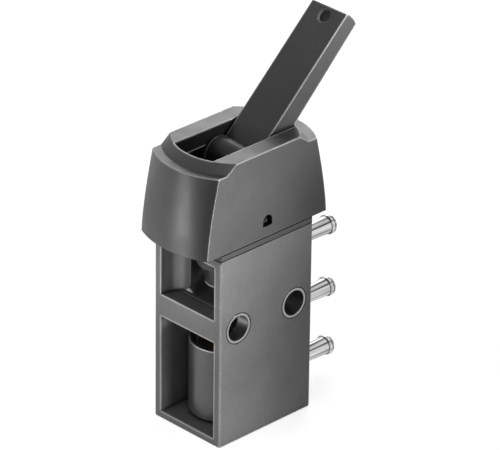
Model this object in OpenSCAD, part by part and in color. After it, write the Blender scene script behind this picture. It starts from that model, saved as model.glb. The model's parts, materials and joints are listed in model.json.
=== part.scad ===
// Toggle lever valve: a small three-port air valve worked by a lever that stays where it is put.
// An open-fronted housing carries the valve cartridge, a bearing block sits on top of it with
// the lever on a pin, and a clip-on cap covers the block. Three hose fittings stand out at the back.
// Z is up, -Y is the open front, +Y is the side of the hose fittings, and X runs along the lever's pin.
// The origin is the middle of the housing's underside.

/* [Housing] */
// Depth of the housing from its open front to the face of the hose fittings
housing_d = 24.2; // [24:0.2:28]
// Height of the housing
housing_h = 39.9; // [39.5:0.1:44]
// Thickness of the two side walls at the open front
side_wall = 1.7; // [1.2:0.1:1.9]
// Gap between the side walls and the cartridge
side_gap = 0.7; // [0.5:0.1:1.5]
// Thickness of the floor
floor_t = 1.4; // [1.2:0.1:2]
// Height of the crossbar's underside above the base
crossbar_z = 22.25; // [21.5:0.25:23]
// Height of the crossbar that parts the two windows
crossbar_h = 4.7; // [3.5:0.1:5.5]
// Height of the bar over the upper window
top_bar_h = 1.6; // [1:0.1:2.5]
// Distance of the pocket's back wall, and of the crossbar's, in front of the valve's axis
pocket_wall = 5.3; // [5.1:0.1:5.7]
// Radius of the hollow corners at the back of the pocket
pocket_r = 3.4; // [2:0.1:3.6]
// Height of the lip along the back edge of the crossbar
lip_h = 0.35; // [0.2:0.05:0.8]
// Gap between the cartridge's round body and the solid block at the back of the housing
back_gap = 0.1; // [0.05:0.05:0.15]
// Gap all round between the plunger's guide and the chamber that it hangs in
chamber_gap = 1.1; // [0.8:0.1:1.4]
// Radius of the housing's upright edges
edge_r = 0.4; // [0.2:0.1:1]
// Radius of the lower edge at the back
back_edge_r = 0.6; // [0.3:0.1:1]
// Depth and height of the seams over and under the bearing block's plate
seam = 0.2; // [0.1:0.05:0.3]

/* [Mounting holes] */
// Distance between the two mounting holes
hole_spacing = 14.7; // [14.5:0.1:15]
// Height of the mounting holes above the base
hole_z = 24.3; // [24:0.1:25]
// Bore of the steel bushes in the mounting holes
bush_bore_d = 5.2; // [4.3:0.1:5.3]
// Wall of the steel bushes
bush_wall = 0.45; // [0.3:0.05:0.6]
// Width of the recess round the ends of the bushes
bush_recess = 0.2; // [0.1:0.05:0.3]
// Length of each of the two front bushes
front_bush_l = 2.9; // [2.2:0.1:3.6]
// Wall of the bosses that carry the front bushes inside the housing
boss_wall = 0.5; // [0.4:0.1:0.8]

/* [Cap] */
// Height of the cap from the bearing block's plate up to its ledge
cap_h = 16.3; // [16:0.1:18]
// Height of the sloping rim that stands on the ledge
rim_h = 1.7; // [1:0.1:2.5]
// Wall of the cap
cap_wall = 1.6; // [1.2:0.1:1.8]
// Overhang of the cap past the housing at the middle of its round ends
cap_overhang = 5.55; // [5:0.05:7]
// Overhang of the cap past the housing at its corners
corner_overhang = 3.45; // [3:0.05:4]
// Lean of the cap's ends from bottom to ledge, at the middle
lean_mid = 2; // [1:0.1:3]
// Lean of the cap's ends from bottom to ledge, at the corners
lean_corner = 2.85; // [2:0.05:3.5]
// How the lean grows with height: 1 is straight, more bends it towards the top
lean_power = 1.4; // [1:0.1:2]
// Width of the flat ledge at the middle of the ends
ledge_mid = 1.75; // [1.4:0.05:2.2]
// Width of the flat ledge at the corners
ledge_corner = 2.2; // [1.6:0.05:2.6]
// Inward slope of the rim from foot to top, at the middle
rim_slope_mid = 1.8; // [1:0.05:1.9]
// Inward slope of the rim from foot to top, at the corners
rim_slope_corner = 2.35; // [1.5:0.05:2.6]
// Thickness of the rim's top edge at the ends of the slot
rim_edge = 0.25; // [0.2:0.05:0.3]
// Width of the latch windows in the cap's sides
latch_w = 2.4; // [2:0.1:3]
// Height of the latch windows
latch_h = 2.3; // [2:0.1:3]
// Height of the latch windows' lower edge above the cap's bottom
latch_z = 2.2; // [1.8:0.1:3]

/* [Lever] */
// Length of the lever from its pin to its tip
lever_l = 34.3; // [28:0.1:40]
// Width of the lever
lever_w = 9.2; // [8.6:0.1:9.4]
// Distance of the lever's front face from the middle of the pin
blade_front = 0.7; // [0.4:0.1:1.2]
// Distance of the lever's back face from the middle of the pin, at its thickest
blade_back = 3.72; // [3.3:0.02:3.74]
// Distance of the lever's back face from the middle of the pin, at the tip
blade_tip = 3; // [2:0.1:3.3]
// Radius of the corners at the lever's tip
tip_r = 0.7; // [0.4:0.1:2.5]
// Crown of the lever's rounded end
tip_crown = 0.45; // [0.2:0.05:0.9]
// Diameter of the hole near the tip
tip_hole_d = 2.4; // [1.6:0.1:3]
// Distance of the hole from the tip
tip_hole_inset = 1.9; // [1.8:0.1:4]
// Diameter of the lever's round foot
hub_d = 7; // [6.6:0.1:7.4]
// Backward lean of the resting lever from upright, in degrees
lean_angle = 47; // [40:0.5:47]
// Thickness of the washers beside the lever's foot
washer_t = 0.5; // [0.3:0.05:0.7]
// Swing of the lever from rest to its forward stop, in degrees
lever_swing = 92; // [80:1:94]
// Height of the pin above the bearing block's plate
pivot_h = 12.6; // [12.4:0.05:12.7]
// Diameter of the lever's pin
pin_d = 2; // [1.6:0.1:2.2]
// Distance from the pin's middle to the cam at rest
cam_min = 2.3; // [2:0.05:2.5]
// Fall of the plunger for each radian that the lever turns
cam_rise = 0.75; // [0.6:0.05:0.85]
// Width of the cam in the middle of the lever's foot
cam_w = 5.8; // [5.4:0.1:6.4]

/* [Bearing block] */
// Thickness of the block's plate
plate_t = 1.4; // [1.2:0.1:2]
// Outer diameter of the tube that guides the plunger
guide_d = 10.4; // [9.6:0.1:11]
// How far the guide tube hangs down into the housing
guide_drop = 6.3; // [5:0.1:8]
// How far the guide tube stands up above the plate
guide_rise = 2.2; // [1:0.1:2.8]
// Width of the cheeks at their foot
cheek_foot = 8; // [6:0.2:8.4]
// Radius of the cheeks round the pin
cheek_r = 1.95; // [1.6:0.05:2]
// Distance of the block's screws from the sides
screw_side = 2; // [1.8:0.1:2.2]
// Distance of the front screws behind the pocket
screw_front = 1.6; // [1.3:0.1:2]
// Distance of the rear screws from the back
screw_rear = 5.8; // [3:0.1:6]
// Diameter of the block's screws
screw_d = 1.6; // [1.2:0.1:1.8]
// Length of the block's screws
screw_l = 7; // [5:0.5:8]

/* [Plunger and stem] */
// Distance of the valve's axis in front of the lever's pin
axis_offset = 2.6; // [2.5:0.05:2.8]
// Diameter of the plunger
plunger_d = 7.2; // [6.6:0.1:7.6]
// How far the plunger hangs out below its guide
plunger_out = 4.2; // [3.6:0.1:5]
// Diameter of the plunger's nose
nose_d = 5; // [4.4:0.1:5.2]
// Height of the plunger's nose
nose_h = 5; // [4:0.1:6]
// Diameter of the hollow in the plunger's lower end
skirt_bore_d = 5.2; // [4.4:0.1:5.6]
// Depth of the hollow in the plunger's lower end
skirt_depth = 3; // [2:0.1:4]
// Diameter of the valve stem
stem_d = 1.9; // [1.6:0.1:2]
// Bore of the valve stem, which is the way out for spent air
stem_bore_d = 0.9; // [0.6:0.1:1]
// How deep the stem sits in the plunger
stem_socket = 3.6; // [3:0.1:6]
// Diameter of the wire of the plunger's spring
plunger_wire_d = 0.5; // [0.3:0.05:0.6]
// Gap between the stem and the spring round it
spring_gap = 0.35; // [0.25:0.05:0.5]
// Gap between the resting stem and the poppet, which is open to the outlet
vent_gap = 0.35; // [0.25:0.05:0.5]

/* [Cartridge] */
// Outer diameter of the cartridge
cartridge_d = 13.2; // [12.8:0.1:13.4]
// Height of the cartridge
cartridge_h = 15.8; // [15.6:0.1:16.4]
// Thickness of the cartridge's bottom
cartridge_floor = 1.6; // [1.4:0.1:2]
// Diameter of the supply chamber
supply_d = 7.2; // [6.8:0.1:7.4]
// Height of the supply chamber
supply_h = 6; // [5.6:0.1:6.2]
// Diameter of the outlet chamber and of the valve seat
outlet_d = 8.8; // [8.4:0.1:9]
// Height of the outlet chamber above the valve seat
outlet_h = 2.8; // [2.4:0.1:3]
// Diameter of the stem guide
stem_guide_d = 9.6; // [9.4:0.1:9.8]
// Height of the stem guide
stem_guide_h = 2.4; // [2.2:0.1:2.5]
// Thickness of the retaining ring
ring_t = 0.5; // [0.4:0.05:0.6]
// Thickness of the cartridge's upper edge
mouth_edge = 0.4; // [0.3:0.05:0.8]
// Thickness of the valve seat
seat_t = 1.4; // [1.2:0.1:1.6]
// Bore of the valve seat
seat_bore_d = 3.4; // [3:0.1:3.6]
// Diameter of the poppet
poppet_d = 5.8; // [5.4:0.1:6.2]
// Thickness of the poppet
poppet_t = 1.5; // [1.2:0.1:1.6]
// Thickness of the poppet's rubber face
poppet_seal_t = 0.55; // [0.4:0.05:0.7]
// Diameter of the poppet's spring, across the middle of its wire
poppet_spring_d = 3.8; // [3.2:0.1:4.4]
// Diameter of the wire of the poppet's spring
poppet_wire_d = 0.44; // [0.3:0.02:0.5]

/* [Hose fittings] */
// Height of the supply fitting above the base
supply_z = 4.75; // [4.6:0.05:5.2]
// Height of the outlet fitting above the base
outlet_z = 17.8; // [17.4:0.1:18]
// Distance of the exhaust fitting below the housing's top
exhaust_drop = 8.5; // [8:0.1:9]
// Diameter of the fittings' smooth stem, for hose of 3 mm bore
barb_d = 3.2; // [3:0.1:3.4]
// Diameter to which the stem widens before its bead
flare_d = 3.6; // [3.5:0.1:3.7]
// Length of the stretch that widens
flare_l = 5; // [3:0.1:6]
// Diameter of the rounded bead at the fittings' end
bead_d = 4.1; // [3.9:0.1:4.6]
// Length of the bead
bead_l = 1.5; // [1.3:0.1:2.4]
// How far the fittings reach out from the housing
barb_reach = 14.1; // [12:0.1:18]
// Width across the flats of the fittings' hexagon
hex_af = 5.5; // [5:0.1:6]
// Height of the fittings' hexagon
hex_h = 2.8; // [2:0.1:3.5]
// Length of the fittings' shank in the housing
shank_l = 5.6; // [4.5:0.1:6]
// Diameter of the fittings' shank
shank_d = 2.9; // [2.6:0.1:3]
// Bore of the fittings
port_d = 1.5; // [1.2:0.1:1.6]

/* [Clearances] */
// Radial running clearance of a sliding or turning piece
run_gap = 0.05; // [0.03:0.01:0.09]
// Gap between the cam and the plunger's nose
cam_gap = 0.1; // [0.05:0.01:0.15]
// Gap between pieces that pass each other freely
free_gap = 0.3; // [0.25:0.05:0.4]
// Radial gap of a fixed piece in its hole
seat_gap = 0.02; // [0.01:0.01:0.05]

/* [Hidden] */
$fn = 48;

// Overcut of a hole past the face that it opens, and overlap of two cuts that join
cut = 1;
lap = 0.1;

// Faces of the housing and of its hollows
housing_w = cartridge_d + 2 * (side_gap + side_wall);
front_y = -housing_d / 2;
rear_y = housing_d / 2;
inner_w = housing_w - 2 * side_wall;
axis_y = -axis_offset;
block_y = axis_y + cartridge_d / 2 + back_gap;
crossbar_top = crossbar_z + crossbar_h;
window_top = housing_h - top_bar_h;
pocket_y = axis_y - pocket_wall;
pocket_depth = pocket_y - front_y;
front_hole_y = -hole_spacing / 2;
rear_hole_y = hole_spacing / 2;
bush_r = bush_bore_d / 2 + bush_wall;
recess_depth = 0.3;
chamber_r = guide_d / 2 + chamber_gap;
exhaust_z = housing_h - exhaust_drop;
// Half width of the gap where the round chamber breaks into the pocket, and the round of its foot
gap_half = sqrt(pow(chamber_r, 2) - pow(axis_y - pocket_y, 2));
shoulder_rest = 0.65;
gap_foot = inner_w / 2 - gap_half - shoulder_rest;
shoulder_lap = 0.2;
foot_depth = 3;
lip_t = 0.7;

// Levels of the bearing block, the cap and the lever's pin
plate_top = housing_h + plate_t;
ledge_z = plate_top + cap_h;
rim_z = ledge_z + rim_h;
cavity_z = ledge_z - cap_wall;
pivot_z = plate_top + pivot_h;
guide_bottom = housing_h - guide_drop;
guide_top = plate_top + guide_rise;
washer_gap = 0.05;
slot_w = lever_w + 2 * washer_t + 4 * washer_gap;
cheek_in = slot_w / 2;
cheek_out = housing_w / 2 - cap_wall - free_gap;
cheek_t = cheek_out - cheek_in;

lug_depth = 0.9;
lug_lip = 0.4;
lug_root = 0.2;
head_h = 0.75;
head_slot_l = 1;
head_slot_w = 0.3;
head_slot_depth = 0.4;

// Half lengths of the cap's outlines, at the middle and at the corners
base_mid = rear_y + cap_overhang;
base_corner = rear_y + corner_overhang;
ledge_out_mid = base_mid - lean_mid;
ledge_out_corner = base_corner - lean_corner;
foot_mid = ledge_out_mid - ledge_mid;
foot_corner = ledge_out_corner - ledge_corner;
top_mid = foot_mid - rim_slope_mid;
top_corner = foot_corner - rim_slope_corner;
end_steps = 24;
lean_steps = 10;
slice_t = 0.01;

// Lever, plunger and stem
hub_r = hub_d / 2;
pin_r = pin_d / 2;
knee_l = 7;
root_step = 0.3;
hole_chamfer = 0.3;
plunger_r = plunger_d / 2;
nose_top = pivot_z - cam_min - cam_gap;
shoulder_z = nose_top - nose_h;
plunger_bottom = guide_bottom - plunger_out;
skirt_top = plunger_bottom + skirt_depth;
stem_r = stem_d / 2;

// Levels inside the cartridge
cartridge_r = cartridge_d / 2;
cartridge_top = floor_t + cartridge_h;
supply_floor = floor_t + cartridge_floor;
seat_z = supply_floor + supply_h;
seat_top = seat_z + seat_t;
guide_seat_z = seat_top + outlet_h;
ring_z = guide_seat_z + stem_guide_h;
ring_depth = 0.35;
ring_w = 1.1;
ring_open = 1.2;
seat_lip = 0.3;
seal_top = seat_z - seat_lip - run_gap;
poppet_top = seal_top - poppet_seal_t;
poppet_bottom = poppet_top - poppet_t;
stem_bottom = seal_top + vent_gap;
poppet_rim = 0.3;
poppet_turns = 4;
plunger_turns = 12;
foot_bevel = 0.7;
pad_w = 6;
pad_top = 14.2;
outlet_port_z = seat_top + outlet_h / 2;

lift_screw_r = 1.25;
lift_head_r = 2.1;
lift_head_h = 0.9;
lift_slot_l = 1.2;
lift_slot_w = 0.4;
lift_slot_depth = 0.5;
screw_tip_gap = 0.3;
tail_r = 1.2;
seat_rim = 0.4;

// Fittings
port_levels = [supply_z, outlet_z, exhaust_z];
fitting_seal_t = 0.5;
port_r = port_d / 2;
shank_r = shank_d / 2;
shank_end = rear_y - shank_l - free_gap;
nose_r = 0.7;
bead_edge = 0.15;
seal_inset = 0.15;
seal_ring_r = 1.3;
seal_cord_r = 0.33;

// An upright block with rounded upright edges, standing on z and centred on the origin
module rounded_block(w, d, h, r) {
    union() {
        translate([-w / 2 + r, -d / 2, 0])
            cube([w - 2 * r, d, h]);
        translate([-w / 2, -d / 2 + r, 0])
            cube([w, d - 2 * r, h]);
        for (sx = [-1, 1], sy = [-1, 1])
            translate([sx * (w / 2 - r), sy * (d / 2 - r), 0])
                cylinder(r = r, h = h);
    }
}

// A flat shape drawn in Y and Z, made solid along X about the middle plane
module across(w) {
    rotate([90, 0, 90])
        linear_extrude(height = w, center = true)
            children();
}

// A round bar along X, centred on the middle plane
module bar_x(r, l) {
    rotate([0, 90, 0])
        cylinder(r = r, h = l, center = true);
}

// A round bar along Y that starts at y and runs towards the back
module bar_y(r, y, l, z) {
    translate([0, y, z])
        rotate([-90, 0, 0])
            cylinder(r = r, h = l);
}

// The pieces of one kind at both ends of the X axis
module both_sides() {
    children();
    mirror([1, 0, 0])
        children();
}

// The four screw places of the bearing block
module at_screws() {
    for (sx = [-1, 1], y = [pocket_y + screw_front, rear_y - screw_rear])
        translate([sx * (housing_w / 2 - screw_side), y, 0])
            children();
}

// A rubber ring lying flat
module o_ring(ring_r, cord_r) {
    rotate_extrude()
        translate([ring_r, 0])
            circle(r = cord_r, $fn = 24);
}

// One point of a coil: turn t of all turns, at angle a round the wire
function coil_point(ring_r, wire_r, z0, pitch, t, a) = [
    (ring_r + wire_r * cos(a)) * cos(360 * t),
    (ring_r + wire_r * cos(a)) * sin(360 * t),
    z0 + wire_r * sin(a) + pitch * t
];

// A compression spring of round wire between two levels
module coil_spring(ring_r, wire_r, bottom, top, turns) {
    sides = 6;
    steps = turns * 12;
    pitch = (top - bottom - 2 * wire_r) / turns;
    points = [
        for (i = [0:steps], k = [0:sides - 1])
            coil_point(ring_r, wire_r, bottom + wire_r, pitch, i / 12, -90 + 360 * k / sides)
    ];
    skin = [
        for (i = [0:steps - 1], k = [0:sides - 1])
            [i * sides + k, i * sides + (k + 1) % sides,
             (i + 1) * sides + (k + 1) % sides, (i + 1) * sides + k]
    ];
    first_end = [for (k = [0:sides - 1]) sides - 1 - k];
    last_end = [for (k = [0:sides - 1]) steps * sides + k];
    polyhedron(points = points, faces = concat(skin, [first_end, last_end]), convexity = 10);
}

// The space behind the upper window: straight sides and two hollow upright corners at the back
module upper_pocket() {
    translate([0, 0, crossbar_top])
        linear_extrude(height = window_top - crossbar_top)
            union() {
                translate([-inner_w / 2, front_y - cut])
                    square([inner_w, cut + pocket_depth - pocket_r]);
                translate([-inner_w / 2 + pocket_r, front_y - cut])
                    square([inner_w - 2 * pocket_r, cut + pocket_depth]);
                for (sx = [-1, 1])
                    translate([sx * (inner_w / 2 - pocket_r), pocket_y - pocket_r])
                        circle(r = pocket_r);
            }
}

// The wide foot of the gap between pocket and chamber, with its rounded shoulders left standing
module gap_foot_cut() {
    foot_half = gap_half + gap_foot - shoulder_lap;
    difference() {
        translate([-foot_half, pocket_y - lap, crossbar_top - lap])
            cube([2 * foot_half, foot_depth, gap_foot + lap]);
        for (sx = [-1, 1])
            translate([sx * foot_half, pocket_y - cut, crossbar_top + gap_foot])
                rotate([-90, 0, 0])
                    cylinder(r = gap_foot, h = foot_depth + 2 * cut);
    }
}

// Bosses inside the side walls that carry the front bushes, cut level with the crossbar
module bush_bosses() {
    boss_r = bush_r + boss_wall;
    both_sides()
        intersection() {
            translate([housing_w / 2 - front_bush_l, front_hole_y, hole_z])
                rotate([0, 90, 0])
                    cylinder(r = boss_r, h = front_bush_l - side_wall / 2);
            translate([0, front_hole_y - boss_r, hole_z - boss_r])
                cube([housing_w, 2 * boss_r, crossbar_top - hole_z + boss_r]);
        }
}

// The two mounting holes: a screw passage in front with a seat for a bush at each end, and
// one long hole for the sleeve behind
module mounting_holes() {
    translate([0, front_hole_y, hole_z])
        bar_x(bush_bore_d / 2 + seat_gap, housing_w);
    both_sides()
        translate([housing_w / 2 - front_bush_l, front_hole_y, hole_z])
            rotate([0, 90, 0])
                cylinder(r = bush_r + seat_gap, h = front_bush_l + cut);
    translate([0, rear_hole_y, hole_z])
        bar_x(bush_r + seat_gap, housing_w + 2 * cut);
    both_sides()
        for (y = [front_hole_y, rear_hole_y])
            translate([housing_w / 2 - recess_depth, y, hole_z])
                rotate([0, 90, 0])
                    cylinder(r = bush_r + bush_recess, h = recess_depth + cut);
}

// Cuts the lower back edge of the housing round
module back_edge_cut() {
    difference() {
        translate([-housing_w, rear_y - back_edge_r, -cut])
            cube([2 * housing_w, back_edge_r + cut, back_edge_r + cut]);
        translate([0, rear_y - back_edge_r, back_edge_r])
            bar_x(back_edge_r, 3 * housing_w);
    }
}

// The passages of the rear block, from the fittings to the valve
module rear_passages() {
    for (z = port_levels)
        bar_y(shank_r + seat_gap, shank_end, rear_y - shank_end + cut, z);
    bar_y(port_r, block_y - cut, shank_end - block_y + 2 * cut, supply_z);
    bar_y(port_r, block_y - cut, shank_end - block_y + cut + port_r, outlet_port_z);
    translate([0, shank_end, outlet_port_z - port_r])
        cylinder(r = port_r, h = outlet_z - outlet_port_z + port_r);
    bar_y(port_r, axis_y, shank_end - axis_y + cut, exhaust_z);
}

// The housing: two windows, a pocket and a round chamber in front of the solid rear block
module housing() {
    color("silver")
        difference() {
            union() {
                difference() {
                    rounded_block(housing_w, housing_d, housing_h, edge_r);
                    translate([-inner_w / 2, front_y - cut, floor_t])
                        cube([inner_w, block_y - front_y + cut, crossbar_z - floor_t]);
                    translate([-inner_w / 2, pocket_y, crossbar_z - lap])
                        cube([inner_w, block_y - pocket_y, crossbar_h + lap]);
                    upper_pocket();
                    gap_foot_cut();
                    translate([0, axis_y, crossbar_top - lap])
                        cylinder(r = chamber_r, h = housing_h);
                }
                translate([-gap_half - gap_foot, pocket_y - lip_t, crossbar_top - lip_h])
                    cube([2 * (gap_half + gap_foot), lip_t, 2 * lip_h]);
                bush_bosses();
            }
            mounting_holes();
            back_edge_cut();
            rear_passages();
            at_screws()
                translate([0, 0, plate_top - screw_l - free_gap])
                    cylinder(d = screw_d + 2 * seat_gap, h = screw_l + cut);
            translate([0, axis_y, 0])
                cartridge_screw_hole();
        }
}

// The countersunk hole in the floor for the screw that holds the cartridge
module cartridge_screw_hole() {
    translate([0, 0, -cut])
        cylinder(r = lift_screw_r, h = floor_t + 2 * cut);
    translate([0, 0, -seat_gap])
        cylinder(r1 = lift_head_r + 5 * seat_gap, r2 = lift_screw_r, h = lift_head_h + 5 * seat_gap);
}

// Steel bushes in the front mounting hole, one in each side wall
module front_mounting_bushes() {
    color("gainsboro")
        both_sides()
            translate([housing_w / 2 - front_bush_l, front_hole_y, hole_z])
                rotate([0, 90, 0])
                    tube(bush_r, bush_bore_d / 2, front_bush_l);
}

// Steel sleeve through the rear mounting hole
module rear_mounting_sleeve() {
    color("gainsboro")
        translate([-housing_w / 2, rear_hole_y, hole_z])
            rotate([0, 90, 0])
                tube(bush_r, bush_bore_d / 2, housing_w);
}

// An upright tube that stands on z
module tube(outer_r, inner_r, h) {
    difference() {
        cylinder(r = outer_r, h = h);
        translate([0, 0, -cut])
            cylinder(r = inner_r, h = h + 2 * cut);
    }
}

// Side view of one cheek: a broad foot that narrows to a round end about the pin
module cheek_shape() {
    union() {
        polygon([
            [-cheek_foot / 2, plate_top - plate_t / 2],
            [cheek_foot / 2, plate_top - plate_t / 2],
            [cheek_r, pivot_z],
            [-cheek_r, pivot_z]
        ]);
        translate([0, pivot_z])
            circle(r = cheek_r);
    }
}

// A latch lug on the outside of a cheek: flat below, sloping above so that the cap slides over it
module latch_lug() {
    lug_w = latch_w - 2 * free_gap;
    lug_low = plate_top + latch_z + free_gap;
    lug_high = plate_top + latch_z + latch_h - free_gap;
    lug_out = housing_w / 2 - lug_depth;
    translate([0, lug_w / 2, 0])
        rotate([90, 0, 0])
            linear_extrude(height = lug_w)
                polygon([
                    [cheek_out - lug_root, lug_low],
                    [lug_out, lug_low],
                    [lug_out, lug_low + lug_lip],
                    [cheek_out - lug_root, lug_high]
                ]);
}

// The bearing block: plate, plunger guide, two cheeks for the pin and the cap's latch lugs
module bearing_block() {
    color("darkgray")
        difference() {
            union() {
                translate([0, 0, housing_h])
                    rounded_block(housing_w - 2 * seam, housing_d - 2 * seam, plate_t, edge_r);
                translate([0, 0, housing_h + seam])
                    rounded_block(housing_w, housing_d, plate_t - 2 * seam, edge_r);
                translate([0, axis_y, guide_bottom])
                    cylinder(d = guide_d, h = guide_top - guide_bottom);
                both_sides() {
                    translate([cheek_in + cheek_t / 2, 0, 0])
                        across(cheek_t)
                            cheek_shape();
                    latch_lug();
                }
            }
            translate([0, axis_y, guide_bottom - cut])
                cylinder(r = plunger_r + run_gap, h = guide_top - guide_bottom + 2 * cut);
            translate([0, 0, pivot_z])
                bar_x(pin_r + seat_gap, housing_w + 2 * cut);
            at_screws()
                translate([0, 0, housing_h - cut]) {
                    cylinder(d = screw_d + 2 * seat_gap, h = plate_t + 2 * cut);
                    translate([0, 0, cut + plate_t - head_h - 2 * seat_gap])
                        cylinder(r1 = screw_d / 2, r2 = screw_d / 2 + head_h + 3 * seat_gap,
                                 h = head_h + 3 * seat_gap);
                }
        }
}

// Countersunk screws that hold the bearing block on the housing
module block_screws() {
    color("dimgray")
        at_screws()
            block_screw();
}

// One countersunk screw that hangs down from the plate's top, with a cross slot in its head
module block_screw() {
    r = screw_d / 2;
    translate([0, 0, plate_top - screw_l])
        difference() {
            union() {
                cylinder(r = r, h = screw_l);
                translate([0, 0, screw_l - head_h])
                    cylinder(r1 = r, r2 = r + head_h, h = head_h);
            }
            for (turn = [0, 90])
                rotate(turn)
                    translate([-head_slot_l, -head_slot_w / 2, screw_l - head_slot_depth])
                        cube([2 * head_slot_l, head_slot_w, cut]);
        }
}

// Outline of the cap seen from above: straight sides and two round ends
function end_y(x, w, mid, corner) =
    let (sag = mid - corner, r = (w * w / 4 + sag * sag) / (2 * sag))
    mid - r + sqrt(r * r - x * x);
function cap_outline(w, mid, corner) = concat(
    [for (i = [0:end_steps]) let (x = w * (i / end_steps - 0.5)) [x, -end_y(x, w, mid, corner)]],
    [for (i = [0:end_steps]) let (x = w * (0.5 - i / end_steps)) [x, end_y(x, w, mid, corner)]]
);

// A thin slice of the cap's outline at height z
module cap_slice(w, mid, corner, z) {
    translate([0, 0, z])
        linear_extrude(height = slice_t)
            polygon(cap_outline(w, mid, corner));
}

// The leaning body of the cap, made smaller all round by inset, from low to high
module cap_loft(inset, low, high) {
    hull()
        for (i = [0:lean_steps]) {
            z = low + (high - low - slice_t) * i / lean_steps;
            rise = max(0, z - plate_top) / cap_h;
            lean = pow(rise, lean_power);
            cap_slice(housing_w - 2 * inset, base_mid - inset - lean * lean_mid,
                      base_corner - inset - lean * lean_corner, z);
        }
}

// A latch window: flat below, round above
module latch_window() {
    translate([housing_w / 2 - cap_wall / 2, 0, plate_top + latch_z]) {
        across(cap_wall + 2 * cut)
            union() {
                translate([-latch_w / 2, 0])
                    square([latch_w, latch_h - latch_w / 2]);
                translate([0, latch_h - latch_w / 2])
                    circle(d = latch_w);
            }
    }
}

// The cap: leaning round ends, a ledge, a sloping rim and the slot for the lever
module cap() {
    color("gray")
        difference() {
            union() {
                cap_loft(0, plate_top, ledge_z);
                hull() {
                    cap_slice(housing_w, foot_mid, foot_corner, ledge_z - slice_t);
                    cap_slice(housing_w, top_mid, top_corner, rim_z - slice_t);
                }
            }
            cap_loft(cap_wall, plate_top - cut, cavity_z);
            translate([0, 0, cavity_z - cut])
                linear_extrude(height = rim_z - cavity_z + 2 * cut)
                    intersection() {
                        square([slot_w, 4 * top_mid], center = true);
                        polygon(cap_outline(housing_w, top_mid - rim_edge, top_corner - rim_edge));
                    }
            both_sides()
                latch_window();
        }
}

// The cam under the lever's foot. Its distance from the pin grows evenly as it turns, so it
// always touches the nose in the same upright line and the plunger falls evenly. The cam is
// what is left of the round foot when this shape is cut out of it.
function cam_point(turn) =
    let (reach = cam_min + cam_rise * turn * PI / 180)
    [-reach * sin(turn) - cam_rise * cos(turn), -reach * cos(turn) + cam_rise * sin(turn)];
module cam_relief() {
    cam_steps = 23;
    outside = hub_d;
    polygon(concat(
        [for (i = [0:cam_steps]) cam_point(lever_swing * i / cam_steps)],
        [[-outside, cam_point(lever_swing)[1]], [-outside, -outside], [outside, -outside],
         [outside, -cam_min]]
    ));
}

// Side view of the lever's blade, standing upright on the pin, with its front face at -Y
// and a crowned end
module blade_shape() {
    crown_w = blade_tip + blade_front;
    crown_r = (pow(crown_w, 2) / 4 + pow(tip_crown, 2)) / (2 * tip_crown);
    union() {
        polygon([
            [-blade_front, 0],
            [hub_r - root_step, 0],
            [blade_back, knee_l],
            [blade_tip, lever_l],
            [-blade_front, lever_l]
        ]);
        intersection() {
            translate([crown_w / 2 - blade_front, lever_l + tip_crown - crown_r])
                circle(r = crown_r);
            translate([-blade_front, lever_l - tip_crown])
                square([crown_w, 2 * tip_crown]);
        }
    }
}

// Front view of the blade: square foot and rounded corners at the tip
module blade_face() {
    end_l = lever_l + tip_crown;
    translate([0, hub_d])
        rotate([90, 0, 0])
            linear_extrude(height = 2 * hub_d)
                union() {
                    translate([-lever_w / 2, 0])
                        square([lever_w, end_l - tip_r]);
                    translate([-lever_w / 2 + tip_r, 0])
                        square([lever_w - 2 * tip_r, end_l]);
                    for (sx = [-1, 1])
                        translate([sx * (lever_w / 2 - tip_r), end_l - tip_r])
                            circle(r = tip_r);
                }
}

// The toggle lever in one piece: blade, round foot and cam
module toggle_lever() {
    color("dimgray")
        translate([0, 0, pivot_z])
            difference() {
                union() {
                    rotate([-lean_angle, 0, 0])
                        intersection() {
                            across(lever_w)
                                blade_shape();
                            blade_face();
                        }
                    bar_x(hub_r, lever_w);
                }
                across(cam_w)
                    cam_relief();
                bar_x(pin_r + run_gap, lever_w + 2 * cut);
                rotate([-lean_angle, 0, 0])
                    translate([0, 0, lever_l - tip_hole_inset])
                        tip_hole();
            }
}

// The hole through the lever's tip, with a chamfer at each face
module tip_hole() {
    r = tip_hole_d / 2;
    rotate([90, 0, 0]) {
        cylinder(r = r, h = 4 * hub_d, center = true);
        translate([0, 0, blade_front - hole_chamfer])
            cylinder(r1 = r, r2 = r + 2 * hole_chamfer, h = 2 * hole_chamfer);
        translate([0, 0, -blade_tip - hole_chamfer])
            cylinder(r1 = r + 2 * hole_chamfer, r2 = r, h = 2 * hole_chamfer);
    }
}

// The steel pin that the lever turns on
module pivot_pin() {
    color("gainsboro")
        translate([0, 0, pivot_z])
            bar_x(pin_r, 2 * cheek_out);
}

// Washers between the lever's foot and the cheeks
module pivot_washers() {
    color("white")
        both_sides()
            translate([cheek_in - washer_gap - washer_t, 0, pivot_z])
                rotate([0, 90, 0])
                    tube(cheek_r, pin_r + seat_gap, washer_t);
}

// The plunger: a hollow skirt below, a smooth body in the guide and a nose under the cam
module plunger() {
    chamfer = 0.3;
    color("lightgray")
        translate([0, axis_y, 0])
            difference() {
                union() {
                    translate([0, 0, plunger_bottom])
                        cylinder(r = plunger_r, h = shoulder_z - plunger_bottom - chamfer);
                    translate([0, 0, shoulder_z - chamfer])
                        cylinder(r1 = plunger_r, r2 = plunger_r - chamfer, h = chamfer);
                    translate([0, 0, shoulder_z])
                        cylinder(d = nose_d, h = nose_h);
                }
                translate([0, 0, plunger_bottom - cut])
                    cylinder(d = skirt_bore_d, h = skirt_depth + cut);
                translate([0, 0, skirt_top - cut])
                    cylinder(r = stem_r + seat_gap, h = stem_socket + cut);
            }
}

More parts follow.
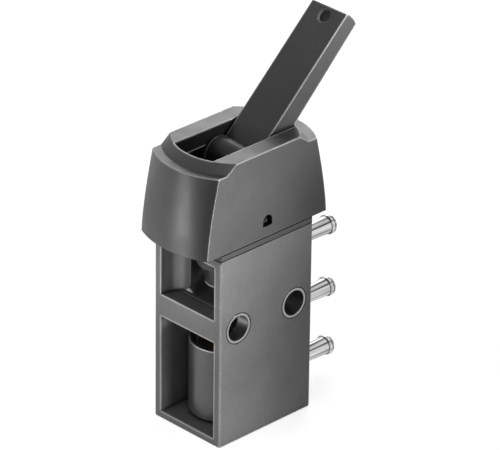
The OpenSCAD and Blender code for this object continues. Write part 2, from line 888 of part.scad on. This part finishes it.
// The spring that lifts the plunger, standing on the stem guide
module plunger_spring() {
    color("silver")
        translate([0, axis_y, 0])
            coil_spring(stem_r + spring_gap + plunger_wire_d / 2, plunger_wire_d / 2, ring_z,
                        skirt_top, plunger_turns);
}

// The hollow valve stem, with a cross hole in the skirt where spent air leaves it
module valve_stem() {
    stem_l = skirt_top + stem_socket - stem_bottom;
    color("gainsboro")
        translate([0, axis_y, stem_bottom])
            difference() {
                cylinder(r = stem_r, h = stem_l);
                translate([0, 0, -cut])
                    cylinder(d = stem_bore_d, h = stem_l - stem_socket + cut);
                translate([0, 0, skirt_top - stem_bottom - skirt_depth / 2])
                    bar_x(stem_bore_d / 3, 2 * stem_d);
            }
}

// The flat pad on the cartridge's back, which lies against the rear block
module cartridge_pad() {
    translate([-pad_w / 2, axis_y, floor_t])
        cube([pad_w, block_y - axis_y, pad_top - floor_t]);
}

// A ring-shaped groove for a port seal, cut into the back of the pad
module seal_groove(z) {
    depth = 2 * seal_cord_r + seat_gap;
    translate([0, block_y - depth, z])
        rotate([-90, 0, 0])
            tube(seal_ring_r + seal_cord_r + seat_gap, seal_ring_r - seal_cord_r - seat_gap,
                 depth + cut);
}

// The cartridge: a stepped cup that holds the seat, the poppet and the stem guide
module cartridge_body() {
    color("lightgray")
        difference() {
            union() {
                translate([0, axis_y, floor_t]) {
                    cylinder(r1 = cartridge_r - foot_bevel, r2 = cartridge_r, h = foot_bevel);
                    translate([0, 0, foot_bevel])
                        cylinder(r = cartridge_r, h = cartridge_h - foot_bevel);
                }
                cartridge_pad();
            }
            translate([0, axis_y, 0]) {
                translate([0, 0, supply_floor])
                    cylinder(d = supply_d, h = cartridge_h);
                translate([0, 0, seat_z])
                    cylinder(d = outlet_d + 2 * seat_gap, h = cartridge_h);
                translate([0, 0, guide_seat_z])
                    cylinder(d = stem_guide_d + 2 * seat_gap, h = cartridge_h);
                translate([0, 0, ring_z])
                    cylinder(r = stem_guide_d / 2 + ring_depth, h = ring_t + seat_gap);
                translate([0, 0, ring_z + ring_t + seat_gap])
                    cylinder(r1 = stem_guide_d / 2 + seat_gap, r2 = cartridge_r - mouth_edge,
                             h = cartridge_top - ring_z - ring_t);
                translate([0, 0, floor_t - cut])
                    cylinder(r = lift_screw_r, h = cut + cartridge_floor - screw_tip_gap);
            }
            for (z = [supply_z, outlet_port_z]) {
                bar_y(port_r, axis_y, block_y - axis_y + cut, z);
                seal_groove(z);
            }
        }
}

// The screw that holds the cartridge to the housing's floor
module cartridge_screw() {
    thread_r = lift_screw_r - seat_gap;
    length = floor_t + cartridge_floor - screw_tip_gap - 2 * washer_gap;
    color("dimgray")
        translate([0, axis_y, 0])
            difference() {
                union() {
                    translate([0, 0, washer_gap])
                        cylinder(r = thread_r, h = length);
                    translate([0, 0, washer_gap])
                        cylinder(r1 = lift_head_r, r2 = thread_r, h = lift_head_h);
                }
                for (turn = [0, 90])
                    rotate(turn)
                        translate([-lift_slot_l, -lift_slot_w / 2, -cut])
                            cube([2 * lift_slot_l, lift_slot_w, cut + washer_gap + lift_slot_depth]);
            }
}

// The valve seat, a turned ring with a sharp lip below
module valve_seat() {
    color("gold")
        translate([0, axis_y, 0])
            difference() {
                union() {
                    translate([0, 0, seat_z])
                        cylinder(d = outlet_d, h = seat_t);
                    translate([0, 0, seat_z - seat_lip])
                        cylinder(r = seat_bore_d / 2 + seat_rim, h = seat_lip + seat_t / 2);
                }
                translate([0, 0, seat_z - cut])
                    cylinder(d = seat_bore_d, h = seat_t + 2 * cut);
            }
}

// The stem guide, a bush with a groove inside for the stem seal
module stem_guide() {
    color("gold")
        translate([0, axis_y, guide_seat_z])
            difference() {
                cylinder(d = stem_guide_d, h = stem_guide_h);
                translate([0, 0, -cut])
                    cylinder(r = stem_r + run_gap, h = stem_guide_h + 2 * cut);
                translate([0, 0, stem_guide_h / 2 - seal_cord_r - seat_gap])
                    cylinder(r = stem_r + run_gap + 2 * seal_cord_r + seat_gap,
                             h = 2 * (seal_cord_r + seat_gap));
            }
}

// The rubber ring that seals the stem
module stem_seal() {
    color("black")
        translate([0, axis_y, guide_seat_z + stem_guide_h / 2])
            o_ring(stem_r + run_gap + seal_cord_r, seal_cord_r);
}

// The open spring ring that keeps the stem guide in the cartridge
module retaining_ring() {
    ring_r = stem_guide_d / 2 + ring_depth - seat_gap;
    color("dimgray")
        translate([0, axis_y, ring_z])
            difference() {
                tube(ring_r, ring_r - ring_w, ring_t);
                translate([-ring_open / 2, -2 * ring_r, -cut])
                    cube([ring_open, 2 * ring_r, ring_t + 2 * cut]);
            }
}

// The poppet, with a tail that centres its spring
module poppet() {
    tail_l = (poppet_bottom - supply_floor) / 2;
    color("gainsboro")
        translate([0, axis_y, 0])
            union() {
                translate([0, 0, poppet_bottom])
                    cylinder(d = poppet_d, h = poppet_t);
                translate([0, 0, poppet_bottom - tail_l])
                    cylinder(r = tail_r, h = tail_l + poppet_t / 2);
            }
}

// The rubber face of the poppet
module poppet_seal() {
    color("black")
        translate([0, axis_y, poppet_top])
            cylinder(d = poppet_d - 2 * poppet_rim, h = poppet_seal_t);
}

// The spring that lifts the poppet against its seat
module poppet_spring() {
    color("silver")
        translate([0, axis_y, 0])
            coil_spring(poppet_spring_d / 2, poppet_wire_d / 2, supply_floor, poppet_bottom,
                        poppet_turns);
}

// Rubber rings between the cartridge's ports and the rear block
module port_seals() {
    color("black")
        for (z = [supply_z, outlet_port_z])
            translate([0, block_y - seal_cord_r, z])
                rotate([90, 0, 0])
                    o_ring(seal_ring_r, seal_cord_r);
}

// Half section of the fitting's end: the widening stem, the bead and its rounded nose, drawn as
// radius and length
module bead_shape() {
    crest = bead_d / 2;
    crest_end = flare_l + bead_l - nose_r;
    union() {
        polygon([
            [port_r, 0],
            [barb_d / 2, 0],
            [flare_d / 2, flare_l],
            [crest - bead_edge, flare_l],
            [crest, flare_l + bead_edge],
            [crest, crest_end],
            [port_r, crest_end]
        ]);
        translate([port_r, crest_end - lap])
            square([crest - nose_r - port_r, nose_r + lap]);
        translate([crest - nose_r, crest_end])
            intersection() {
                circle(r = nose_r);
                square(nose_r);
            }
    }
}

// The fitting's hexagon, with its corners turned off at both ends
module chamfered_hex() {
    corner_r = hex_af / 2 / cos(30);
    bevel_h = (corner_r - hex_af / 2) / 2;
    intersection() {
        rotate(30)
            cylinder(r = corner_r, h = hex_h, $fn = 6);
        union() {
            cylinder(r1 = hex_af / 2, r2 = corner_r, h = bevel_h);
            translate([0, 0, bevel_h])
                cylinder(r = corner_r, h = hex_h - 2 * bevel_h);
            translate([0, 0, hex_h - bevel_h])
                cylinder(r1 = corner_r, r2 = hex_af / 2, h = bevel_h);
        }
    }
}

// A hose fitting: shank, hexagon, smooth stem and bead, with a bore all the way
module hose_fitting(z) {
    stem_l = barb_reach - bead_l - flare_l;
    color("whitesmoke")
        translate([0, rear_y, z])
            rotate([-90, 0, 0])
                union() {
                    difference() {
                        union() {
                            translate([0, 0, -shank_l])
                                cylinder(r = shank_r, h = shank_l + fitting_seal_t);
                            translate([0, 0, fitting_seal_t])
                                chamfered_hex();
                            translate([0, 0, fitting_seal_t])
                                cylinder(d = barb_d, h = stem_l - fitting_seal_t);
                        }
                        translate([0, 0, -shank_l - cut])
                            cylinder(r = port_r, h = shank_l + stem_l + 2 * cut);
                    }
                    translate([0, 0, stem_l])
                        rotate_extrude()
                            bead_shape();
                }
}

// The three hose fittings, from the bottom up
module supply_fitting() {
    hose_fitting(supply_z);
}

module outlet_fitting() {
    hose_fitting(outlet_z);
}

module exhaust_fitting() {
    hose_fitting(exhaust_z);
}

// Sealing washers under the fittings' hexagons
module fitting_seals() {
    color("black")
        for (z = port_levels)
            translate([0, rear_y, z])
                rotate([-90, 0, 0])
                    tube(hex_af / 2 - seal_inset, shank_r + seat_gap, fitting_seal_t);
}

housing();
front_mounting_bushes();
rear_mounting_sleeve();
bearing_block();
block_screws();
cap();
toggle_lever();
pivot_pin();
pivot_washers();
plunger();
plunger_spring();
valve_stem();
cartridge_body();
cartridge_screw();
valve_seat();
stem_guide();
stem_seal();
retaining_ring();
poppet();
poppet_seal();
poppet_spring();
port_seals();
supply_fitting();
outlet_fitting();
exhaust_fitting();
fitting_seals();
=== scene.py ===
import json
import math

import bmesh
import bpy
from mathutils import Matrix, Vector


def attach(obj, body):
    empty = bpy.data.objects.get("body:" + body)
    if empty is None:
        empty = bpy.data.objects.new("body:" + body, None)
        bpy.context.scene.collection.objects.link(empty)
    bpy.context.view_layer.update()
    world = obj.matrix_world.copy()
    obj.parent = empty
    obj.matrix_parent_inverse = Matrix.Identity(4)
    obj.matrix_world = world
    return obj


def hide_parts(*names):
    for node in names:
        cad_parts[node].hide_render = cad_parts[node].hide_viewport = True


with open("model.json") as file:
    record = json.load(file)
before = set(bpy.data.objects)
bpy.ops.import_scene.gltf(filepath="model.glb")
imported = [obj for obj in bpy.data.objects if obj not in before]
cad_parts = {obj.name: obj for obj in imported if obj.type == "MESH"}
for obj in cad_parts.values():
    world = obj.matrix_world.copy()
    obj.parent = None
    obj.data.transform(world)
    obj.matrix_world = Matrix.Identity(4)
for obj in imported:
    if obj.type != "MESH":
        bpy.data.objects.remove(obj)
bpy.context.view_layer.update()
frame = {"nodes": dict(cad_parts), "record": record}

MM = 0.001

# The photograph's camera: where it stands, how it is turned, and its lens on a 36 mm sensor
CAMERA_PLACE = (0.54523, -0.53128, 0.43937)
CAMERA_AZIMUTH = 45.516
CAMERA_ELEVATION = 27.667
CAMERA_ROLL = 0.693
CAMERA_LENS = 327.42
SENSOR_WIDTH = 36

# All places and sizes from here to MATERIALS are in mm, in the part's own frame.
# Sizes of the spots of uneven tone, coarse and fine, of uneven gloss, of the edges' wear and painted
# highlight, of the painted reflections' unevenness, and of the drawing streaks
BROAD_SPOT = 9
FINE_SPOT = 1.1
GLOSS_SPOT = 3.5
EDGE_SPOT = 2.2
REFLECTION_SPOT = 0.7
STREAK_SPOT = 0.12
# How far the painted shade reaches out of an inner corner, and how deep the grain is
CREASE_SHADE_REACH = 0.9
GRAIN_DEPTH = 0.05
# Share of a surface's own level that the painted shade leaves, in inner corners and at the shaded places
PAINTED_SHADE_LEVEL = 0.15

# Heights of the three fittings' axes, and where their beads begin and end
FITTINGS = (4.75, 17.8, 31.4)
BEAD_NECK = 24.6
BEAD_NOSE = 26.2
# Darkness of the painted reflections round a fitting's stem, from below to above, and from its bead's neck to
# its nose
ROUND_STEM = ((0, 0.5), (0.22, 0.95), (0.31, 0.85), (0.39, 0.3), (0.46, 0.7), (0.53, 0.25), (0.68, 0.15),
              (0.735, 1), (0.78, 0.4), (0.83, 0.25), (0.9, 0.8), (0.95, 0.85), (1, 0.6))
ALONG_BEAD = ((0, 1), (0.1, 0.35), (0.38, 0.1), (0.48, 0.9), (0.62, 0.55), (1, 0.75))
# Share of the stem's painted reflections that the bead has too
STEM_ON_BEAD = 0.6

# The two mounting holes, the latch windows, and the circles round them that stay out of the edges' wear and
# painted highlight; round the latch windows the lugs take painted shade
HOLES = (-7.35, 7.35)
HOLE_HEIGHT = 24.3
HOLE_CLEAR = 3.9
LATCH_HEIGHT = 44.6
LATCH_CLEAR = 2
# Half the housing's width, and the painted shade across its pocket, from the middle to the outside of the side
# wall
HALF_WIDTH = 9
ACROSS_POCKET = ((0, 0.75), (0.5, 0.75), (0.63, 0), (0.72, 0), (0.8, 0.8), (1, 0.8))


def make_camera():
    """The photograph's camera, which looks along -Z of its own axes."""
    a = math.radians(CAMERA_AZIMUTH)
    e = math.radians(CAMERA_ELEVATION)
    back = Vector((math.sin(a) * math.cos(e), -math.cos(a) * math.cos(e), math.sin(e)))
    right = Vector((math.cos(a), math.sin(a), 0))
    axes = Matrix((right, back.cross(right), back)).transposed()
    data = bpy.data.cameras.new("camera")
    data.lens = CAMERA_LENS
    data.sensor_width = SENSOR_WIDTH
    data.clip_start = 0.01
    data.clip_end = 20
    camera = bpy.data.objects.new("camera", data)
    bpy.context.scene.collection.objects.link(camera)
    turn = Matrix.Rotation(math.radians(CAMERA_ROLL), 3, "Z")
    camera.matrix_world = Matrix.Translation(CAMERA_PLACE) @ (axes @ turn).to_4x4()
    bpy.context.scene.camera = camera


class Nodes:
    """A small helper that adds nodes to one node tree and links them."""

    def __init__(self, tree):
        self.tree = tree
        tree.nodes.clear()

    def add(self, kind, inputs=None, **settings):
        made = self.tree.nodes.new(kind)
        for key, value in settings.items():
            setattr(made, key, value)
        for key, value in (inputs or {}).items():
            self.put(made.inputs[key], value)
        return made

    def put(self, socket, value):
        if isinstance(value, bpy.types.NodeSocket):
            self.tree.links.new(value, socket)
        else:
            socket.default_value = value

    def math(self, operation, a, b):
        return self.add("ShaderNodeMath", {0: a, 1: b}, operation=operation).outputs[0]

    def size(self, value):
        """A value without its sign."""
        return self.math("ABSOLUTE", value, 0)

    def product(self, value, *others):
        for other in others:
            value = self.math("MULTIPLY", value, other)
        return value

    def largest(self, value, *others):
        for other in others:
            value = self.math("MAXIMUM", value, other)
        return value

    def noise(self, where, spot, detail=3, roughness=0.55):
        """Noise from 0 to 1 with spots of a size in mm."""
        made = self.add("ShaderNodeTexNoise", {"Vector": where, "Scale": 1 / (spot * MM), "Detail": detail,
                                               "Roughness": roughness})
        return made.outputs["Fac"]

    def ramp(self, value, low, high, start, end):
        """From start, where the value is low, evenly to end, where it is high."""
        made = self.add("ShaderNodeMapRange", {"Value": value, "From Min": low, "From Max": high,
                                               "To Min": start, "To Max": end})
        return made.outputs["Result"]

    def curve(self, value, stops):
        """A smooth curve through stops of position and height, both from 0 to 1."""
        made = self.add("ShaderNodeValToRGB", {0: value})
        ramp = made.color_ramp
        ramp.interpolation = "EASE"
        while len(ramp.elements) < len(stops):
            ramp.elements.new(0.5)
        for element, (position, height) in zip(ramp.elements, stops):
            element.position = position
            element.color = (height, height, height, 1)
        return made.outputs[0]

    def split(self, where):
        return list(self.add("ShaderNodeSeparateXYZ", {0: where}).outputs)

    def split_mm(self, where):
        """The three coordinates in mm."""
        return [self.math("DIVIDE", part, MM) for part in self.split(where)]

    def stretched(self, where, share):
        """Coordinates in which a pattern is drawn out along Y."""
        return self.add("ShaderNodeMapping", {"Vector": where, "Scale": (1, share, 1)}).outputs[0]

    def away(self, y, z, y0, z0, radius):
        """1 outside a circle seen along X, 0 within it."""
        dy = self.math("POWER", self.math("SUBTRACT", y, y0), 2)
        dz = self.math("POWER", self.math("SUBTRACT", z, z0), 2)
        reach = self.math("SQRT", self.math("ADD", dy, dz), 0)
        return self.ramp(reach, radius, radius + 0.2, 0, 1)

    def mix(self, factor, a, b):
        made = self.add("ShaderNodeMix", {0: factor}, data_type="RGBA")
        self.put(made.inputs[6], a)
        self.put(made.inputs[7], b)
        return made.outputs[2]


def grey(level, warm=0.0):
    """A grey of a linear level, a little warm or cool."""
    return (level * (1 + warm), level, level * (1 - warm), 1)


def painted_reflections(n, x, y, z):
    """The painted reflections on the fittings, round each stem and along each bead, from 0 to 1."""
    height = n.math("SUBTRACT", z, FITTINGS[0])
    for low, high in zip(FITTINGS, FITTINGS[1:]):
        above = n.math("GREATER_THAN", z, (low + high) / 2)
        height = n.math("SUBTRACT", height, n.product(above, high - low))
    turn = n.math("ARCTAN2", height, n.size(x))
    stem = n.curve(n.ramp(turn, -math.pi / 2, math.pi / 2, 0, 1), ROUND_STEM)
    bead = n.curve(n.ramp(y, BEAD_NECK, BEAD_NOSE, 0, 1), ALONG_BEAD)
    bead = n.largest(bead, n.product(stem, STEM_ON_BEAD))
    on_bead = n.math("GREATER_THAN", y, BEAD_NECK)
    off_bead = n.math("SUBTRACT", 1, on_bead)
    return n.math("ADD", n.product(on_bead, bead), n.product(off_bead, stem))


def surface(name, level, metallic=0.0, roughness=0.5, grain=0.05, grain_mm=0.25, blotch=0.08, streak=0.0,
            reflection_bands=None, round_mm=0.12, edge=None, edge_mm=0.4, edge_mask=None, painted_shade_at=None, crease=0.85,
            specular=0.5, warm=0.0):
    """A worn surface of a linear grey level. Its edges look rounded, its outer edges are lightened to the
    level edge, partly as wear and partly as a painted highlight, its inner corners carry painted shade, and
    its tone, gloss and grain are uneven. A drawn piece has painted reflections, bands of the level given for
    them. One mask gives how far the edges at a place are lightened, and another how dark the painted shade at
    a place is."""
    material = bpy.data.materials.new(name)
    material.use_nodes = True
    n = Nodes(material.node_tree)
    where = n.add("ShaderNodeTexCoord").outputs["Object"]
    painted_shade = grey(level * PAINTED_SHADE_LEVEL, warm)
    tone = n.math("ADD", n.ramp(n.noise(where, BROAD_SPOT, 4), 0.3, 0.7, 0.5 - blotch, 0.5 + blotch),
                  n.ramp(n.noise(where, FINE_SPOT, 5, 0.65), 0.3, 0.7, -blotch / 2, blotch / 2))
    colour = n.mix(tone, grey(level * 0.5, warm), grey(level * 1.5, warm))
    # Painted reflections: dark and light bands on the plating, laid out round the fittings in the part's frame
    if reflection_bands:
        uneven = n.ramp(n.noise(n.stretched(where, 0.02), REFLECTION_SPOT, 2, 0.6), 0.35, 0.65, -0.18, 0.18)
        reflections = n.math("ADD", painted_reflections(n, *n.split_mm(where)), uneven)
        colour = n.mix(reflections, colour, grey(reflection_bands, warm))
    # Painted shade: inner corners and creases darken by ambient occlusion
    corner = n.add("ShaderNodeAmbientOcclusion", {"Distance": CREASE_SHADE_REACH * MM}, samples=6, only_local=False)
    colour = n.mix(n.ramp(corner.outputs["AO"], 0.35, 0.95, crease, 0), colour, painted_shade)
    rough = n.ramp(n.noise(where, GLOSS_SPOT, 5), 0.25, 0.75, roughness * 0.82, roughness * 1.18)
    # Painted shade at the places that a mask gives
    if painted_shade_at:
        colour = n.mix(painted_shade_at(n, *n.split_mm(where)), colour, painted_shade)
    # Convex edges lightened: partly wear, partly a painted highlight along the edges
    if edge:
        outer = n.add("ShaderNodeAmbientOcclusion", {"Distance": edge_mm * MM}, samples=16, inside=True,
                      only_local=True)
        edge_wear_and_highlight = n.product(n.ramp(outer.outputs["AO"], 0.92, 0.7, 0, 1),
                           n.ramp(n.noise(where, EDGE_SPOT, 5, 0.7), 0.3, 0.6, 0.8, 1),
                           n.ramp(corner.outputs["AO"], 0.55, 0.85, 0, 1))
        if edge_mask:
            edge_wear_and_highlight = n.product(edge_wear_and_highlight, edge_mask(n, *n.split_mm(where)))
        colour = n.mix(edge_wear_and_highlight, colour, grey(edge, warm))
    height = n.noise(where, grain_mm, 2, 0.5)
    if streak:
        height = n.math("ADD", height, n.product(n.noise(n.stretched(where, 0.03), STREAK_SPOT, 3), streak))
    rounded = n.add("ShaderNodeBevel", {"Radius": round_mm * MM}, samples=6)
    bump = n.add("ShaderNodeBump", {"Height": height, "Strength": grain, "Distance": GRAIN_DEPTH * MM,
                                    "Normal": rounded.outputs[0]})
    bsdf = n.add("ShaderNodeBsdfPrincipled", {"Base Color": colour, "Roughness": rough,
                                              "Normal": bump.outputs[0], "Metallic": metallic})
    bsdf.inputs["Specular IOR Level"].default_value = specular
    n.add("ShaderNodeOutputMaterial", {"Surface": bsdf.outputs[0]})
    material.diffuse_color = grey(level, warm)
    return material


def edge_mask_housing(n, x, y, z):
    """Where the housing's edges are lightened as wear and painted highlight: not under the plate above, not
    round the bushes, little at the windows and not deep inside them, apart from the lip behind the crossbar,
    which gets a painted highlight."""
    sides = n.ramp(n.size(x), 8.2, 8.4, 0, 1)
    windows = n.ramp(y, -8.2, -8, 0.4, 0)
    lip = n.product(n.ramp(z, 26.7, 26.9, 0, 1), n.ramp(z, 27.4, 27.6, 1, 0),
                    n.ramp(y, -9.2, -8.8, 0, 1), n.ramp(y, -7, -6.8, 1, 0))
    rings = [n.away(y, z, hole, HOLE_HEIGHT, HOLE_CLEAR) for hole in HOLES]
    return n.product(n.largest(sides, windows, lip), *rings, n.ramp(z, 39.3, 39.5, 1, 0))


def edge_mask_cap(n, x, y, z):
    """Where the cap's edges are lightened as wear and painted highlight: not at the lower edge and not round
    the latch windows.
    """
    return n.product(n.ramp(z, 41.5, 41.7, 0, 1), n.away(y, z, 0, LATCH_HEIGHT, LATCH_CLEAR))


def shade_round_pivot(n, x, y, z):
    """Painted shade round the lever's pivot, down in the slot."""
    return n.ramp(z, 56.5, 60, 0.85, 0)


def shade_in_pocket(n, x, y, z):
    """Painted shade in the pocket, left off at its hollow corners so that they read as lit."""
    within = n.product(n.ramp(y, -10.9, -9.5, 0, 1), n.ramp(y, -5, -4, 1, 0),
                       n.ramp(z, 27.2, 27.6, 0, 1), n.ramp(n.size(x), 8.2, 8, 0, 1))
    return n.product(within, n.curve(n.math("DIVIDE", n.size(x), HALF_WIDTH), ACROSS_POCKET))


def shade_on_block(n, x, y, z):
    """Painted shade on the latch lugs, and on the plunger's guide."""
    lug = n.math("SUBTRACT", 1, n.away(y, z, 0, LATCH_HEIGHT, LATCH_CLEAR))
    return n.largest(n.product(lug, 0.6), n.ramp(z, 39.6, 39.2, 0, 0.4))


def shade_on_cap(n, x, y, z):
    """Painted shade at the front's corners, on the top, at the sides' rear foot and within the slot."""
    across, along, up = n.split(n.add("ShaderNodeTexCoord").outputs["Normal"])
    sideways = n.ramp(n.size(across), 0.75, 0.9, 0, 1)
    front = n.product(n.ramp(n.size(x), 3.5, 8, 0, 0.95), n.ramp(along, -0.5, -0.75, 0, 1))
    side = n.product(n.ramp(y, 2, 13, 0, 0.9), n.ramp(z, 56, 44, 0.2, 1), sideways)
    slot = n.product(n.ramp(n.size(x), 6, 5.5, 0, 0.9), n.ramp(y, -12.5, -11.5, 0, 1), sideways)
    top = n.ramp(up, 0.8, 0.95, 0, 0.45)
    return n.largest(front, side, slot, top)


MATERIALS = {
    "housing": surface("housing_metal", 0.155, roughness=0.45, grain=0.12, grain_mm=0.2, blotch=0.11,
                       edge=1.0, edge_mm=0.44, edge_mask=edge_mask_housing, painted_shade_at=shade_in_pocket, specular=0.2),
    # The block is the housing's metal at a lower level: a darker copy that gives it painted shade inside the
    # cap
    "block": surface("block_metal", 0.065, roughness=0.45, grain=0.1, grain_mm=0.2, crease=1.0,
                     painted_shade_at=shade_on_block, specular=0.2),
    "cap": surface("cap_plastic", 0.065, roughness=0.35, grain=0.14, grain_mm=0.16, blotch=0.1, edge=0.42,
                   round_mm=0.18, edge_mask=edge_mask_cap, painted_shade_at=shade_on_cap, specular=0.35),
    "lever": surface("lever_plastic", 0.055, roughness=0.38, grain=0.1, grain_mm=0.2, blotch=0.12,
                     edge=0.32, round_mm=0.15, painted_shade_at=shade_round_pivot, specular=0.22),
    "steel": surface("steel", 0.29, metallic=1.0, roughness=0.36, grain=0.06, streak=1.0, round_mm=0.08),
    "chrome": surface("bright_plating", 0.75, metallic=1.0, roughness=0.14, grain=0.02, blotch=0.03,
                      reflection_bands=0.06, round_mm=0.1, crease=0.9),
    "cartridge": surface("cartridge_metal", 0.1, metallic=0.6, roughness=0.34, grain=0.08, edge=0.5),
    "brass": surface("brass", 0.4, metallic=1.0, roughness=0.3, grain=0.05, warm=0.25, round_mm=0.05),
    "rubber": surface("rubber", 0.02, roughness=0.7, grain=0.1),
    "white": surface("white_plastic", 0.6, roughness=0.45, grain=0.05),
    "plunger": surface("plunger_plastic", 0.02, roughness=0.4, grain=0.05, edge=0.4, specular=0.3),
}

# The material of each node that a smoothed copy stands for, and the record's slot of the copy
LOOKS = {
    "housing": ("housing", "housing_metal"), "bearing_block": ("block", "housing_metal"),
    "cap": ("cap", "cap_plastic"), "toggle_lever": ("lever", "lever_plastic"),
    "front_mounting_bushes": ("steel", "steel"), "rear_mounting_sleeve": ("steel", "steel"),
    "supply_fitting": ("chrome", "bright_plating"), "outlet_fitting": ("chrome", "bright_plating"),
    "exhaust_fitting": ("chrome", "bright_plating"), "cartridge_body": ("cartridge", "cartridge_metal"),
    "plunger": ("plunger", "white_plastic"), "plunger_spring": ("steel", "steel"),
}
# The material of each node that is shown as it is
PLAIN = {
    "block_screws": "steel", "pivot_pin": "steel", "pivot_washers": "white",
    "valve_stem": "steel", "cartridge_screw": "steel", "valve_seat": "brass", "stem_guide": "brass",
    "stem_seal": "rubber", "retaining_ring": "steel", "poppet": "steel", "poppet_seal": "rubber",
    "poppet_spring": "steel", "port_seals": "rubber", "fitting_seals": "rubber",
}
# Two faces that turn by less than this are shaded as one curved surface
SMOOTH = math.radians(33)
# Corners of a mesh that lie closer than this are one
WELD = 0.0005 * MM


def body_of(node):
    """The moving body that a node belongs to."""
    for body, nodes in frame["record"]["behaviour"]["bodies"].items():
        if node in nodes:
            return body


def smooth_mesh(node):
    """A node's mesh with its curved faces shaded smooth and its edges kept sharp."""
    mesh = frame["nodes"][node].data.copy()
    bm = bmesh.new()
    bm.from_mesh(mesh)
    bmesh.ops.remove_doubles(bm, verts=bm.verts, dist=WELD)
    for face in bm.faces:
        face.smooth = True
    for edge in bm.edges:
        edge.smooth = len(edge.link_faces) == 2 and edge.calc_face_angle() < SMOOTH
    bm.to_mesh(mesh)
    bm.free()
    return mesh


def dress(node, material):
    """A smooth-shaded copy of a node with its material, which takes the node's place."""
    mesh = smooth_mesh(node)
    mesh.materials.clear()
    mesh.materials.append(MATERIALS[material])
    piece = bpy.data.objects.new(node + "_look", mesh)
    bpy.context.scene.collection.objects.link(piece)
    smooth = piece.modifiers.new("normals", "WEIGHTED_NORMAL")
    smooth.keep_sharp = True
    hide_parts(node)
    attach(piece, body_of(node))


def seen_ray(n):
    """1 for the camera's own rays, reflections and what glass shows, 0 for light."""
    path = n.add("ShaderNodeLightPath").outputs
    return n.largest(path["Is Camera Ray"], n.largest(path["Is Glossy Ray"], path["Is Transmission Ray"]))


def floor_material():
    """White to the camera and in reflections, with the shadow kept. The glow grows with the distance
    in metres from the part, because the lamps reach less far."""
    material = bpy.data.materials.new("studio_white")
    material.use_nodes = True
    n = Nodes(material.node_tree)
    where = n.add("ShaderNodeTexCoord").outputs["Object"]
    reach = n.add("ShaderNodeVectorMath", {0: where}, operation="LENGTH").outputs["Value"]
    strength = n.product(seen_ray(n), n.ramp(reach, 0.2, 0.8, 0.75, 0.9))
    diffuse = n.add("ShaderNodeBsdfDiffuse", {"Color": (0.8, 0.8, 0.8, 1)})
    glow = n.add("ShaderNodeEmission", {"Color": (1, 1, 1, 1), "Strength": strength})
    both = n.add("ShaderNodeAddShader", {0: diffuse.outputs[0], 1: glow.outputs[0]})
    n.add("ShaderNodeOutputMaterial", {"Surface": both.outputs[0]})
    return material


def make_stage():
    """A wide plain floor at the part's underside."""
    mesh = bpy.data.meshes.new("floor")
    half = 3
    corners = [(-half, -half, 0), (half, -half, 0), (half, half, 0), (-half, half, 0)]
    mesh.from_pydata(corners, [], [(0, 1, 2, 3)])
    mesh.materials.append(floor_material())
    floor = bpy.data.objects.new("floor", mesh)
    bpy.context.scene.collection.objects.link(floor)


def make_world():
    """White to the camera and in reflections, and a dim even light on all else."""
    world = bpy.data.worlds.new("studio")
    bpy.context.scene.world = world
    world.use_nodes = True
    n = Nodes(world.node_tree)
    dim = n.add("ShaderNodeBackground", {"Color": (1, 1, 1, 1), "Strength": 0.15})
    white = n.add("ShaderNodeBackground", {"Color": (1, 1, 1, 1), "Strength": 1.0})
    both = n.add("ShaderNodeMixShader", {0: seen_ray(n), 1: dim.outputs[0], 2: white.outputs[0]})
    n.add("ShaderNodeOutputWorld", {"Surface": both.outputs[0]})


def softbox(name, place, aim, size, power, spread=180, glossy=True):
    """An area lamp, in metres, watts and degrees, that the camera doesn't see. It shows in
    reflections only if it is glossy."""
    data = bpy.data.lights.new(name, "AREA")
    data.shape = "RECTANGLE"
    data.size, data.size_y = size
    data.energy = power
    data.spread = math.radians(spread)
    lamp = bpy.data.objects.new(name, data)
    bpy.context.scene.collection.objects.link(lamp)
    lamp.location = place
    direction = Vector(aim) - Vector(place)
    lamp.rotation_mode = "QUATERNION"
    lamp.rotation_quaternion = direction.to_track_quat("-Z", "Y")
    lamp.visible_camera = False
    lamp.visible_glossy = glossy


def make_lights():
    """Small lamps near the part give the soft gradients of its sides, and two large ones the rest."""
    middle = (0, 0, 0.04)
    softbox("key", (0.14, 0.03, 0.046), (0.009, -0.036, 0.053), (0.03, 0.02), 0.028, 44)
    softbox("lever_key", (0.1, 0.06, 0.13), (0.005, 0.026, 0.081), (0.03, 0.03), 0.01, 22, glossy=False)
    softbox("low_key", (0.07, -0.016, 0.008), (0.009, -0.012, 0.003), (0.02, 0.01), 0.002, 46)
    softbox("front_low", (-0.036, -0.119, 0.015), (0, -0.012, 0.035), (0.035, 0.035), 0.046)
    softbox("pocket_key", (0.045, -0.11, 0.014), (-0.005, -0.008, 0.032), (0.01, 0.01), 0.00045, 14)
    softbox("front_high", (-0.1, -0.2, 0.12), (0, -0.014, 0.045), (0.04, 0.04), 0.0025, 24)
    softbox("top", (0.1, -0.3, 1.0), middle, (0.8, 0.8), 0.8)
    softbox("rear_fill", (-0.25, 0.35, 0.2), middle, (0.25, 0.25), 0.75)


make_camera()
make_world()
make_lights()
make_stage()
for node, (material, slot) in LOOKS.items():
    dress(node, material)
for node, material in PLAIN.items():
    mesh = frame["nodes"][node].data
    mesh.materials.clear()
    mesh.materials.append(MATERIALS[material])

bpy.context.scene.view_settings.view_transform = "Standard"
